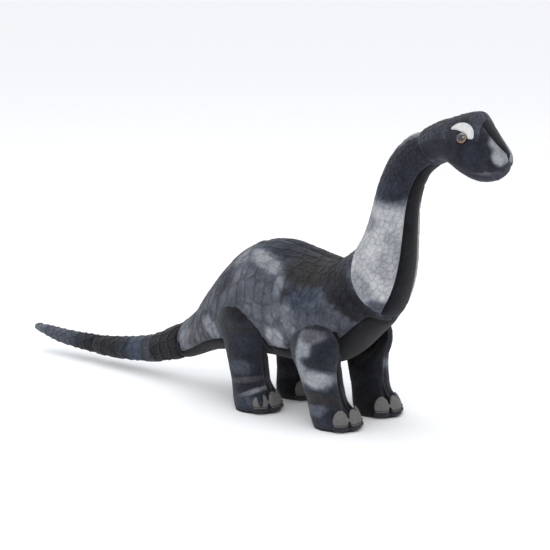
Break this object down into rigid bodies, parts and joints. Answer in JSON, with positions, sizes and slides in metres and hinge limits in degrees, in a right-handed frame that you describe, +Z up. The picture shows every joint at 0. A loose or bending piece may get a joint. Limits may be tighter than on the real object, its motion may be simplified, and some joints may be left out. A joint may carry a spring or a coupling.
{
  "type": "stuffed dinosaur",
  "caption": "Stuffed long-necked dinosaur in embossed, cloud-dyed plush; stands on four padded legs with soft toe nails, its neck, head, tail and legs flex.",
  "frame": {"origin": "on the floor, under the middle of the toy's length, on its mirror plane", "axes": "+X towards the nose, +Y the animal's left, +Z up"},
  "size_m": [0.5405, 0.1002, 0.2678],
  "materials": {
    "body": "embossed short pile plush, dyed in soft clouds of slate, charcoal and pale grey",
    "rump": "embossed short pile plush, pale grey with tan tints",
    "neck": "embossed short pile plush, charcoal above and pale grey below",
    "crown": "short pile plush, charcoal",
    "muzzle": "short pile plush, light grey",
    "dark": "plain short pile plush, near-black navy",
    "brow": "short pile plush, off-white",
    "tail": "embossed short pile plush in soft bands of charcoal, slate blue and grey",
    "leg": "embossed short pile plush, dark navy mottled with grey",
    "sole": "plain short pile plush, charcoal",
    "nail": "smooth brushed suede cloth, warm grey",
    "eye": "clear-fronted plastic safety eye, amber iris with a black pupil",
    "washer": "moulded plastic locking washer",
    "filling": "loose polyester fibre filling",
    "pellets": "cotton bag of plastic pellets"
  },
  "bodies": {
    "torso": {"body_panel_left": "body", "body_panel_right": "body", "rump_panel_left": "rump", "rump_panel_right": "rump", "belly_panel": "dark", "torso_filling": "filling"},
    "neck": {"neck_panel_left": "neck", "neck_panel_right": "neck", "throat_panel": "dark", "neck_filling": "filling"},
    "head": {"crown_panel_left": "crown", "crown_panel_right": "crown", "nose_bridge_panel": "dark", "muzzle_panel_left": "muzzle", "muzzle_panel_right": "muzzle", "cheek_panel_left": "dark", "cheek_panel_right": "dark", "jaw_panel": "muzzle", "brow_patch_left": "brow", "brow_patch_right": "brow", "eye_left": "eye", "eye_right": "eye", "eye_washer_left": "washer", "eye_washer_right": "washer", "head_filling": "filling"},
    "tail_base": {"tail_panel_left": "tail", "tail_panel_right": "tail", "tail_filling": "filling"},
    "tail_tip": {"tip_panel_left": "tail", "tip_panel_right": "tail", "tip_filling": "filling"},
    "fore_left_leg": {"fore_left_outer_panel": "leg", "fore_left_inner_panel": "leg", "fore_left_sole": "sole", "fore_left_toe_nails": "nail", "fore_left_toe_pads": "sole", "fore_left_filling": "filling", "fore_left_pellet_bag": "pellets"},
    "fore_right_leg": {"fore_right_outer_panel": "leg", "fore_right_inner_panel": "leg", "fore_right_sole": "sole", "fore_right_toe_nails": "nail", "fore_right_toe_pads": "sole", "fore_right_filling": "filling", "fore_right_pellet_bag": "pellets"},
    "hind_left_leg": {"hind_left_outer_panel": "leg", "hind_left_inner_panel": "leg", "hind_left_sole": "sole", "hind_left_toe_nails": "nail", "hind_left_toe_pads": "sole", "hind_left_filling": "filling", "hind_left_pellet_bag": "pellets"},
    "hind_right_leg": {"hind_right_outer_panel": "leg", "hind_right_inner_panel": "leg", "hind_right_sole": "sole", "hind_right_toe_nails": "nail", "hind_right_toe_pads": "sole", "hind_right_filling": "filling", "hind_right_pellet_bag": "pellets"}
  },
  "joints": [
    {"name": "neck_flex", "type": "hinge", "parent": "torso", "child": "neck", "pos_m": [0.14022, 0, 0.11527], "axis": [0, 1, 0], "range_deg": [-12, 12], "stiffness_Nm_per_rad": 3},
    {"name": "head_nod", "type": "hinge", "parent": "neck", "child": "head", "pos_m": [0.19822, 0, 0.23527], "axis": [0, 1, 0], "range_deg": [-15, 15], "stiffness_Nm_per_rad": 0.8},
    {"name": "tail_swing", "type": "hinge", "parent": "torso", "child": "tail_base", "pos_m": [-0.06922, 0, 0.03904], "axis": [0, 0, 1], "range_deg": [-20, 20], "stiffness_Nm_per_rad": 0.8},
    {"name": "tail_tip_swing", "type": "hinge", "parent": "tail_base", "child": "tail_tip", "pos_m": [-0.18422, 0, 0.01702], "axis": [0, 0, 1], "range_deg": [-25, 25], "stiffness_Nm_per_rad": 0.2},
    {"name": "fore_left_leg_swing", "type": "hinge", "parent": "torso", "child": "fore_left_leg", "pos_m": [0.10978, 0.032, 0.065], "axis": [0, 1, 0], "range_deg": [-12, 12], "stiffness_Nm_per_rad": 3},
    {"name": "fore_right_leg_swing", "type": "hinge", "parent": "torso", "child": "fore_right_leg", "pos_m": [0.10978, -0.032, 0.065], "axis": [0, 1, 0], "range_deg": [-12, 12], "stiffness_Nm_per_rad": 3},
    {"name": "hind_left_leg_swing", "type": "hinge", "parent": "torso", "child": "hind_left_leg", "pos_m": [0.03078, 0.032, 0.074], "axis": [0, 1, 0], "range_deg": [-12, 12], "stiffness_Nm_per_rad": 3},
    {"name": "hind_right_leg_swing", "type": "hinge", "parent": "torso", "child": "hind_right_leg", "pos_m": [0.03078, -0.032, 0.074], "axis": [0, 1, 0], "range_deg": [-12, 12], "stiffness_Nm_per_rad": 3}
  ]
}
